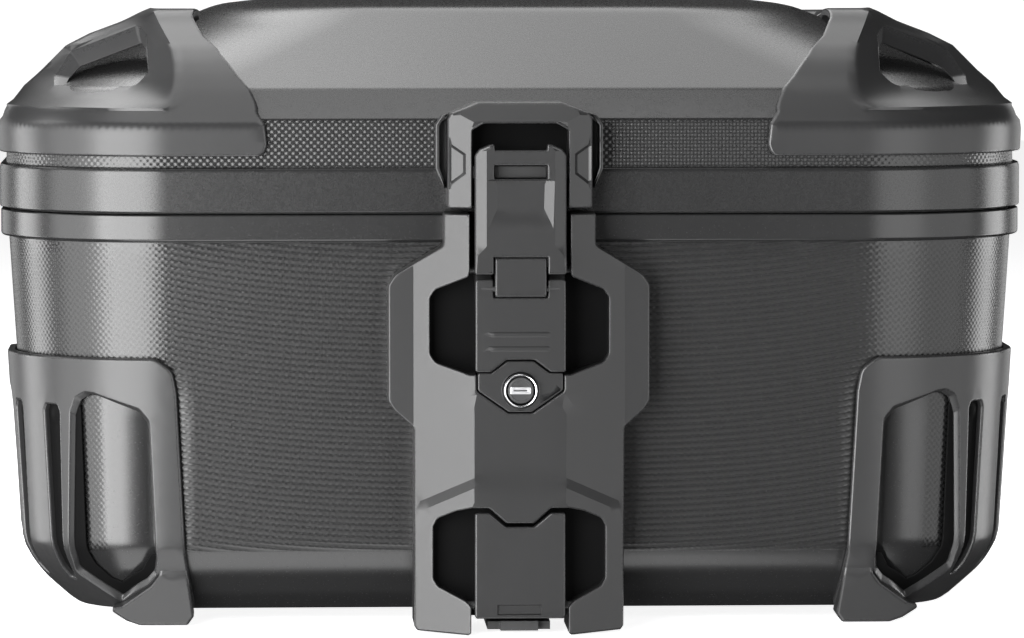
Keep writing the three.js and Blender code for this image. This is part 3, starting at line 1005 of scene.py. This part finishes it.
def eye_surf(u, v, depth):
    v = max(0, min(V_TOP, v))
    e = 1.6
    du = eye_flat(u + e, v) - eye_flat(u - e, v)
    dv = eye_flat(u, min(V_TOP, v + e)) - eye_flat(u, max(0, v - e))
    n = du.cross(dv).normalized()
    if n.dot(Vector((-0.5, -0.5, 0.6))) < 0:
        n = -n
    half = lookup(EYE_V, v)[6] / 2
    lip = smooth01((v - STEP_V) / 0.5) * smooth01((STEP_V + 8 - v) / 7)
    lip *= smooth01((half + 1 - abs(u)) / 5)
    p = eye_flat(u, v) - n * (depth - lip)
    return p.x, p.y, p.z


def eye_uv(x, z):
    """Where a point seen at x, z on the front lies on the guard."""
    v = lookup(V_OF_Z, z)[0]
    row = lookup(EYE_V, v)
    half = row[6] / 2
    if -x <= row[0]:
        return half + row[0] + x, v
    lo, hi = 0, 1
    for _ in range(30):
        m = (lo + hi) / 2
        if -eye_corner(row[:6], m)[0] < -x:
            lo = m
        else:
            hi = m
    return half - 2 * half * lo, v


def side_uv(y, z):
    v = lookup(V_OF_Z, z)[0]
    row = lookup(EYE_V, v)
    return -(row[6] / 2 + row[3] + y), v


front_line = [(-121.5, 227.2, 7), (-119.4, 233, 6), (-120.2, 243, 3), (-124.6, 253.4, 8), (-132.6, 265, 12),
    (-141.4, 275.7, 16), (-154.6, 292.4, 4)]
side_line = [(-60, 227.2, 6), (-57.6, 232, 6), (-57.6, 240, 3), (-63, 253, 8), (-70, 265, 12),
    (-75, 275.7, 16), (-81, 293, 4)]
outline = [eye_uv(x, z) + (r,) for x, z, r in front_line]
outline += [(17.5, lookup(EYE_V, V_TOP - 8)[7], 3), (6.6, V_TOP - 0.4, 2), (-3, V_TOP - 0.4, 2)]
outline += [side_uv(y, z) + (r,) for y, z, r in reversed(side_line)]
eye_line = densify(fillet(outline, 2, 5), 4)
eye_mouth = [(-222, 259.6, 2), (-222.3, 264, 3), (-215, 275, 3), (-181.5, 288.4, 3), (-177.5, 284, 2),
    (-176.4, 266.6, 4), (-183, 260, 4)]
eye_throat = [(-218.5, 260.8, 1.5), (-216.5, 265, 2), (-211.5, 270.2, 2.5), (-181, 282.2, 2),
    (-178.8, 279.4, 1.5), (-177.6, 267.2, 4), (-183.5, 261.2, 4)]
mouth = fillet([eye_uv(x, z) + (r,) for x, z, r in eye_mouth], 2, 4)
throat = fillet([eye_uv(x, z) + (r,) for x, z, r in eye_throat], 2, 4)
if len(mouth) != len(throat):
    throat = same_count(mouth, throat)
front_crease, side_crease, ring_lines = [], [], []
for a, b in zip(EYE_V, EYE_V[1:]):
    if a[5] > 249:
        front_crease.append(((a[6] / 2, a[7]), (b[6] / 2, b[7])))
        side_crease.append(((-a[6] / 2, a[7]), (-b[6] / 2, b[7])))
for z in (241.8, 244.2):
    v = lookup(V_OF_Z, z)[0]
    ring_lines.append(((-130, v), (130, v)))
ring_lines += [((-62, STEP_V + k), (62, STEP_V + k)) for k in (-0.05, 0.55)]
eye_data = slab_data(eye_line, eye_surf, 3.4, [(mouth, throat, 2.6)], bevel=1.1, grid=4,
                     creases=front_crease + side_crease + ring_lines)
four_corners("upper_guard", eye_data, SATIN, "lid")


# ---- latch
def line_gap(p, a, b):
    """Signed distance of p to the left of the line a to b."""
    run = math.dist(a, b)
    return ((b[0] - a[0]) * (p[1] - a[1]) - (b[1] - a[1]) * (p[0] - a[0])) / run


def pocket(u, v, poly, depth, ramp):
    """Depth of a pocket with sloping walls; poly is convex and counter-clockwise."""
    near = min(line_gap((u, v), a, b) for a, b in around(poly))
    return depth * clamp01(near / ramp)


def both_creases(*lines):
    """Creases (x0, z0, x1, z1) on the left and on the right."""
    return [((x0 * k, z0), (x1 * k, z1)) for k in (-1, 1) for x0, z0, x1, z1 in lines]


def ring_creases(poly, *insets):
    out = []
    for d in insets:
        out += list(around(offset(poly, d)))
    return out


PLATE_DEPTH = 10


def front_y(depth, face, solid, rear):
    """The first few mm of depth follow the face, the rest reaches back to the rear surface."""
    if depth <= solid:
        return face + depth
    return face + solid + (depth - solid) / (PLATE_DEPTH - solid) * (rear - face - solid)


TUB_FRONT = [(-150, 15), (-156, 28), (-161.2, 38), (-167.9, 141), (-170.6, 183.8), (-175, 185.4),
    (-175, 202)]
LID_FRONT = [(-175.2, 203), (-175.2, 221.6), (-171.9, 222.6), (-171.9, 244.9), (-163, 254.5)]


FLAT_X, WING_X = 21.8, 50.3     # where the housing's flat front and its sloping sides end


def housing_face(x, z):
    ax = abs(x)
    if ax <= FLAT_X:
        y = -200
    elif ax <= WING_X:
        y = -200 + (ax - FLAT_X) * 0.48
    else:
        y = -186.32 + (ax - WING_X) * 0.02
    brow = 75.5 - max(0, ax - 22) * 0.47
    if z < brow:
        y += 1.6 * smooth01((brow - z) / 5) + max(0, 22 - z) * 0.02
    return y


def housing_surf(x, z, depth):
    return x, front_y(depth, housing_face(x, z), 3, lookup(TUB_FRONT, z)[0]), z


housing_half = [(-5.7, 106.4, 2), (-20.7, 116.9, 2), (-20.7, 124.6, 0.6), (-24.2, 124.6, 1), (-28, 126, 3),
    (-40, 130, 4), (-42.6, 134, 4), (-42.6, 160.6, 4), (-40, 164.6, 4), (-24.6, 171, 2), (-23.9, 174, 2),
    (-23.9, 200.8, 0.5), (-36.2, 200.8, 0.8), (-36.2, 185.5, 3), (-59, 171.5, 6), (-62.3, 166.5, 3),
    (-62.3, 111, 4), (-59.4, 106.6, 4), (-50.3, 98.6, 3), (-50, 3.4, 1), (-48.6, 1.4, 1), (-24.4, 0.2, 1),
    (-23.2, 1.2, 1), (-23.2, 14, 3), (-26, 16.6, 3), (-38.8, 23, 4), (-41, 26.6, 3), (-41, 51.4, 4),
    (-39, 55.4, 4), (-30.5, 59.2, 5), (-23, 61, 4), (-14.8, 61, 2), (-6.6, 53.8, 2)]
housing_creases = both_creases(
    (FLAT_X, 0, FLAT_X, 106), (WING_X, 96, WING_X, 180), (FLAT_X, 124, FLAT_X, 126),
    (22, 75.5, 50, 62.3), (22, 70.5, 50, 57.3))
slab("housing_shell", symmetric(housing_half, 1.5, 4, 6, True), housing_surf, PLATE_DEPTH, LATCH,
     "tub", ("latch_housing",), bevel=0.9, steps=6, grid=6, creases=housing_creases, sharp=16)


def plate_at(y):
    return lambda u, v, d: (u, y + d, v)


def rect(x0, x1, z0, z1, r=1):
    return densify(fillet([(x0, z0), (x1, z0), (x1, z1), (x0, z1)], r, 4), 6)


def painted_shade_floor(name, line, y, body, bevel=0.4, grid=9):
    """A near-black sheet at the bottom of a recess: painted shade."""
    slab(name, line, plate_at(y), 2, PAINTED_SHADE, body, slot="textured_plastic", bevel=bevel, grid=grid)


# Painted shade: near-black sheets behind the housing's openings.
upper_floor = mirror2([(-44, 105), (-44, 167), (-30, 174), (-30, 200.4)])
painted_shade_floor("housing_floor_upper", densify(upper_floor, 6), -180.4, "tub")
painted_shade_floor("housing_floor_lower", rect(-43, 43, 8, 63), -180.6, "tub")


def tube(axis, place, profile, sides, wear):
    """Turned shape: profile of (run along the axis, radius). place is the axis' own point."""
    verts, faces, edge = [], [], []
    for i, (run, r) in enumerate(profile):
        for k in range(sides):
            a = math.tau * (k + 0.5) / sides
            c, s = r * math.cos(a), r * math.sin(a)
            if axis == "x":
                verts.append((run, place[0] + c, place[1] + s))
            else:
                verts.append((place[0] + c, run, place[1] + s))
            edge.append(wear[i])
    for i in range(len(profile) - 1):
        a, b = i * sides, (i + 1) * sides
        faces += [(a + k, a + (k + 1) % sides, b + (k + 1) % sides, b + k) for k in range(sides)]
    return verts, faces, edge


def closed_tube(axis, place, a, b, r, bevel=0.4):
    profile = [(a, 0.01), (a, r - bevel), (a + bevel, r), (b - bevel, r), (b, r - bevel), (b, 0.01)]
    return tube(axis, place, profile, 28, [0, 0.5, 0.9, 0.9, 0.5, 0])


def cheek(x0, x1, outline, bevel=0.6):
    """A block cut to a side outline (y, z), from x0 to x1, with both rims bevelled."""
    grow = 1 if x1 > x0 else -1
    return slab_data(densify(outline, 5), lambda u, v, d: (x0 + grow * d, u, v), abs(x1 - x0),
                     bevel=bevel, back=0.5, steps=2)


# Lever: a faceplate on two cheeks that turn on the pin, with two raised ribs on its face.
RIB_Z = (137.2, 144)
RIB_X, RIB_HALF, RIB_PROUD = -0.5, 15, 0.5


def lever_surf(x, z, d):
    rib, off = 0, abs(x - RIB_X)
    if off < RIB_HALF:
        for z0 in RIB_Z:
            across = smooth01(1.5 - abs(z - z0) / 0.9)
            rib = max(rib, RIB_PROUD * across * smooth01((RIB_HALF - off) / 1.2))
    return x, -203 - rib + 0.9 * max(0, (z - 150) / 20) ** 2 + d, z


lever_line = symmetric([(-12.9, 161.4, 0.6), (-12.9, 170, 0.8), (-21.4, 170, 1.4), (-21.4, 126.2, 1),
    (-14.2, 126.2, 2), (-6.6, 132, 2.5)], flip=True)
lever_creases = [((-15.4, z0 + k), (14.4, z0 + k)) for z0 in RIB_Z for k in (-1.3, -0.7, 0, 0.7, 1.3)]
cheek_line = fillet([(-202.4, 141), (-202.6, 163), (-202, 168.6), (-199, 170), (-192, 175.5), (-188, 178),
    (-182.8, 177), (-182, 172), (-188, 160), (-195, 148), (-196.5, 141)], 1.5, 3)
skin("lever_shell", [slab_data(lever_line, lever_surf, 4, bevel=0.7, grid=3.6, creases=lever_creases),
                     cheek(-21.2, -13.2, cheek_line), cheek(21.2, 13.2, cheek_line)],
     LATCH, "lever", "latch_lever")

# Hook: a frame that drops over the keeper, hung on the lever by a broad tongue.
HOOK_FLAT = 16.2        # half width of its flat front


def hook_surf(x, z, d):
    ax = abs(x)
    side = max(0, ax - HOOK_FLAT - max(0, 186 - z) * 0.9) * 0.44
    wide = HOOK_FLAT - (223.4 - z) * 0.03
    dip = 2.4 * max(0, min(1, (wide - ax) / 4.6, smooth01((z - 193.5) / 10.5)))
    dip *= 1 if z < 216.9 else max(0, 1 - (z - 216.9) / 0.6)
    return x, -205.9 + side + dip + d, z


hook_line = symmetric([(-12.9, 180.8, 0.5), (-12.9, 172.6, 0.8), (-21.7, 172.6, 1), (-21.7, 228.8, 3),
    (-19.5, 231.8, 2), (-15, 233.8, 2), (-12.6, 234.2, 0.8), (-12.3, 231.2, 0.8)])
hook_window = rect(-12.6, 12.6, 217.6, 224.2, 0.8)
hook_creases = both_creases(
    (HOOK_FLAT, 186, HOOK_FLAT, 231), (HOOK_FLAT, 186, 21.7, 179.9), (15.4, 196, 16, 216.8),
    (11, 203.8, 11.4, 216.8), (15.3, 194.6, 11, 203.8), (11.4, 216.8, 16, 216.8))
tongue_line = [(-12.2, 161.8, 1), (12.2, 161.8, 1), (12.2, 180.2, 0.8), (-12.2, 180.2, 0.8)]


def tongue_surf(u, v, d):
    return u, -205.3 + 0.5 * max(0, (166 - v) / 4) ** 2 + d, v


skin("hook_shell", [
    slab_data(hook_line, hook_surf, 6.6, [hook_window], bevel=0.8, steps=5, grid=3.4, creases=hook_creases),
    slab_data(densify(fillet(tongue_line, 1, 3), 4), tongue_surf, 8, bevel=0.8, grid=4),
    slab_data(rect(-13.4, 13.4, 176, 186, 0.5), plate_at(-202.4), 3, bevel=0.3, grid=5)],
    LATCH, "hook", "latch_hook", 19)

# Lock: proud plate, bright ring, dark plug with a bright shutter across the keyway.
LOCK_Z = 117.3
BORE_R, BORE_SIDES = 8.5, 40
lock_line = symmetric([(-6.2, 131.2, 2), (-13.8, 125.5, 2), (-20.2, 125.5, 1), (-20.2, 117.2, 2),
    (-5.5, 107, 2)])
circle = [(BORE_R * math.cos(math.tau * k / BORE_SIDES),
           LOCK_Z + BORE_R * math.sin(math.tau * k / BORE_SIDES)) for k in range(BORE_SIDES)]
slab("lock_plate_shell", lock_line, plate_at(-200.6), 6, LATCH, "tub",
     ("lock_plate",), holes=[circle], bevel=0.6, grid=4, sharp=30)
ring = [(-196, 8.2), (-202.6, 8.2), (-203.3, 8), (-203.6, 7.6), (-203.5, 7.2), (-203, 6.95), (-201.4, 6.85),
    (-196, 6.85), (-196, 8.2)]
skin("lock_ring", [tube("y", (0, LOCK_Z), ring, 56, [0, 0.2, 1, 1, 1, 0.6, 0, 0, 0])], RING_STEEL,
     "tub", "lock_bezel", 40)
barrel = tube("y", (0, LOCK_Z), [(-187.8, 0.01), (-187.8, 6.3), (-201.6, 6.3), (-202, 6), (-202.1, 5),
                                 (-201.9, 4.8), (-201.9, 0.01)], 48, [0] * 7)


def lock_box(hx, hz, r, steps):
    return fillet([(-hx, LOCK_Z - hz), (hx, LOCK_Z - hz), (hx, LOCK_Z + hz), (-hx, LOCK_Z + hz)], r, steps)


shutter = slab_data(lock_box(4.9, 1.7, 0.7, 4), plate_at(-202.5), 1.6, [lock_box(3.4, 0.28, 0.15, 2)],
                    bevel=0.18, steps=2, back=0.05)
shutter = (shutter[0], shutter[1], [1] * len(shutter[2]))
skin("lock_face", [barrel, shutter], LOCK_STEEL, "lock", "lock_plug")

# Release lever: a finger plate with a shallow pocket, on two lugs and a tube.
RELEASE_POCKET = [(-10.8, 9.9), (10.2, 9.9), (10.2, 14.9), (-10.8, 14.9)]


def release_surf(x, z, d):
    dip = pocket(x, z, RELEASE_POCKET, 1.1, 0.5)
    if math.hypot(x + 9.2, z - 11.6) < 1.3:
        dip *= 0.35
    return x, -198 + dip + 0.35 * max(0, (20 - z) / 12) ** 2 + d, z


release_line = symmetric([(-6.7, 52, 2), (-14.6, 58.6, 1.6), (-21.5, 58.6, 1), (-21.5, 9.2, 1),
    (-20.6, 8.2, 0.6)])
lug_line = fillet([(-197.4, 30), (-197.4, 10.4), (-192, 9.6), (-187.4, 12), (-187, 17), (-193, 30)], 2, 4)
skin("release_shell", [
    slab_data(release_line, release_surf, 5, bevel=0.8, grid=4,
              creases=ring_creases(RELEASE_POCKET, 0, 0.5)),
    cheek(-21.2, -14, lug_line), cheek(21.2, 14, lug_line),
    closed_tube("x", (-191, 14), -14.5, 14.5, 4)], LATCH, "release", "release_lever")

# Catch on the lid: a frame round the opening, with a chevron pocket on each side.
CHEVRON = [(-33.8, 234.8), (-33.8, 213.6), (-25.8, 219.8), (-25.8, 229.4)]
CHEVRON_DEPTH, CHEVRON_RAMP = 1.2, 1.3


def cover_face(x, z):
    ax = abs(x)
    y = -201.6 + max(0, (ax - 20.5) * 0.42, (z - 243.6) * 0.8)
    return y + pocket(-ax, z, CHEVRON, CHEVRON_DEPTH, CHEVRON_RAMP)


def cover_surf(x, z, depth):
    return x, front_y(depth, cover_face(x, z), 5, lookup(LID_FRONT, z)[0]), z


cover_line = symmetric([(-17.2, 243.8, 1), (-22.9, 240.6, 1.5), (-22.9, 203.6, 0.6), (-34.4, 203.6, 0.8),
    (-34.4, 245.6, 2), (-33, 248.4, 2), (-19.6, 253.7, 2)])
cover_creases = []
for k in (-1, 1):
    for loop in (CHEVRON, offset(CHEVRON, CHEVRON_RAMP)):
        cover_creases += around([(k * -p[0], p[1]) for p in loop])
    cover_creases.append(((20.5 * k, 243.6), (33 * k, 250.16)))
slab("cover_shell", cover_line, cover_surf, PLATE_DEPTH, LATCH, "lid", ("catch_cover",), bevel=0.9,
     steps=5, grid=3.4, creases=cover_creases, sharp=19)
# Painted shade: a near-black sheet behind the catch's opening.
painted_shade_floor("catch_floor", rect(-23.4, 23.4, 203.8, 244), -182.6, "lid", 0.3, 8)
wing = [(-34.7, 211), (-39.7, 221.8), (-39.7, 243), (-36.8, 247.2), (-33.6, 248.4), (-34.6, 246.6),
    (-36.2, 245.2), (-38, 242.4), (-38, 222.6), (-35.2, 214.6)]
wing_parts = []
for k in (1, -1):
    pts = [(k * x, z) for x, z in fillet(wing, 0.7, 3)]
    wing_parts.append(slab_data(densify(pts, 4), plate_at(-190), 14, bevel=0.45, steps=2))
plate_line = symmetric([(-33, 246.6, 2), (-38.6, 242.6, 2), (-38.6, 223, 3), (-35, 214, 2),
    (-34.4, 208.6, 1)], 1, 3, 5)
wing_parts.append(slab_data(plate_line, plate_at(-180.2), 5, bevel=0.5, grid=6))
skin("wing_shell", wing_parts, LATCH, "lid", "catch_plate")


# ---- carried-over nodes
def dress(names, mat):
    for name in names:
        ob = NODES[name]
        ob.data.materials.clear()
        ob.data.materials.append(mat)


dress(list(NODES), SATIN)
dress(["lid_seal"] + [f"base_pad_{i}" for i in (1, 2, 3, 4)], RUBBER)
dress([f"base_screw_{i}" for i in (1, 2, 3, 4)] + ["hinge_pin_left", "hinge_pin_right"], STEEL)
dress(["catch_keeper"], KEEPER_STEEL)
dress(["base_plate", "lever_pin", "hook_pin", "release_pin", "rack_bolt", "lock_cam"]
      + [f"hinge_{k}_leaf_{s}" for k in ("tub", "lid") for s in ("left", "right")], BLACK_STEEL)

# ---- stage, light and camera
# The floor is white to the camera, dull to the light that bounces off it, and not reflected.
floor_me = bpy.data.meshes.new("floor")
bm = bmesh.new()
bmesh.ops.create_grid(bm, x_segments=2, y_segments=2, size=6)
bm.to_mesh(floor_me)
bm.free()
floor = add_object("floor", floor_me)
floor.location.z = -0.0003
floor_n = Nodes("floor")
floor_n.bsdf.inputs["Roughness"].default_value = 0.6
seen = floor_n.add("ShaderNodeLightPath").outputs["Is Camera Ray"]
paper = floor_n.ramp(floor_n.noise(3), [(0.3, grey(0.9)), (0.7, grey(0.93))])
floor_n.feed("Base Color", floor_n.mix(seen, grey(0.45), paper))
floor_n.feed("Emission Strength", floor_n.mul(seen, 0.85))
floor_n.bsdf.inputs["Emission Color"].default_value = (1, 1, 1, 1)
floor_me.materials.append(floor_n.mat)
floor.visible_glossy = False
floor.visible_shadow = False

# The world is white to the camera and almost dark to everything else.
world_data = bpy.data.worlds.new("studio")
bpy.context.scene.world = world_data
world_data.use_nodes = True
wt = world_data.node_tree
bg = wt.nodes["Background"]
bg.inputs["Color"].default_value = (1, 1, 1, 1)
bg.inputs["Strength"].default_value = 0.02
bright = wt.nodes.new("ShaderNodeBackground")
bright.inputs["Color"].default_value = (1, 1, 1, 1)
bright.inputs["Strength"].default_value = 1.1
ray = wt.nodes.new("ShaderNodeLightPath")
both = wt.nodes.new("ShaderNodeMixShader")
wt.links.new(ray.outputs["Is Camera Ray"], both.inputs[0])
wt.links.new(bg.outputs[0], both.inputs[1])
wt.links.new(bright.outputs[0], both.inputs[2])
wt.links.new(both.outputs[0], wt.nodes["World Output"].inputs["Surface"])


def softbox(name, place, target, size, power, size_y=None):
    data = bpy.data.lights.new(name, "AREA")
    data.shape = "RECTANGLE"
    data.size = size
    data.size_y = size_y or size
    data.energy = power
    ob = add_object(name, data)
    ob.location = place
    ob.rotation_euler = (Vector(target) - Vector(place)).to_track_quat("-Z", "Y").to_euler()


softbox("key_left", (-0.92, -1.5, 0.15), (-0.1, 0, 0.15), 1.2, 80, 1.8)
softbox("far_left", (-1.7, -0.85, 0.15), (-0.1, 0, 0.15), 1.4, 32, 1.8)
softbox("side_left", (-1.95, 0.6, 0.05), (-0.1, 0, 0.15), 0.8, 22, 1.4)
softbox("facet_left", (-1.65, 0.3, 1.4), (-0.2, -0.1, 0.27), 0.7, 6)
softbox("top_back", (0, 0.9, 1.7), (0, 0, 0.2), 1.5, 16, 1.3)
softbox("top_left", (-0.5, 0.9, 1.7), (0, 0, 0.2), 0.8, 7, 1.3)
softbox("top", (-0.3, -0.3, 2), (0, 0, 0.2), 1.2, 13)
softbox("key_right", (1, -1.65, 0.15), (0, 0, 0.16), 1.1, 16, 1.6)
softbox("far_right", (1.7, -0.75, 0.15), (0.1, 0, 0.15), 1.2, 10, 1.6)
softbox("side_right", (1.95, 0.6, 0.05), (0.1, 0, 0.15), 0.8, 18, 1.4)
softbox("rim_left", (-1.3, 1.8, 0.2), (0, 0.1, 0.15), 0.9, 2.5)
softbox("rim_right", (1.3, 1.8, 0.2), (0, 0.1, 0.15), 0.9, 2.5)
softbox("low_front", (-0.3, -0.8, -1.1), (0, 0, 0.05), 1, 11)

cam_data = bpy.data.cameras.new("camera")
cam = add_object("camera", cam_data)
bpy.context.scene.camera = cam
AZ, ELEV, DIST = math.radians(-2.5), math.radians(3.8), 3.08
SENSOR, VIEW_WIDTH = 36, 0.5025         # mm, and metres across the picture at DIST
aim = Vector((0.0007, (OY - 92) * MM, 0.1440))
back_dir = Vector((math.sin(AZ) * math.cos(ELEV), -math.cos(AZ) * math.cos(ELEV), math.sin(ELEV)))
cam.location = aim + back_dir * DIST
cam.rotation_mode = "QUATERNION"
cam.rotation_quaternion = (-back_dir).to_track_quat("-Z", "Y")
cam_data.sensor_width = SENSOR
cam_data.lens = SENSOR * DIST / VIEW_WIDTH
cam_data.clip_start, cam_data.clip_end = 0.1, 50

bpy.context.scene.view_settings.view_transform = "Standard"
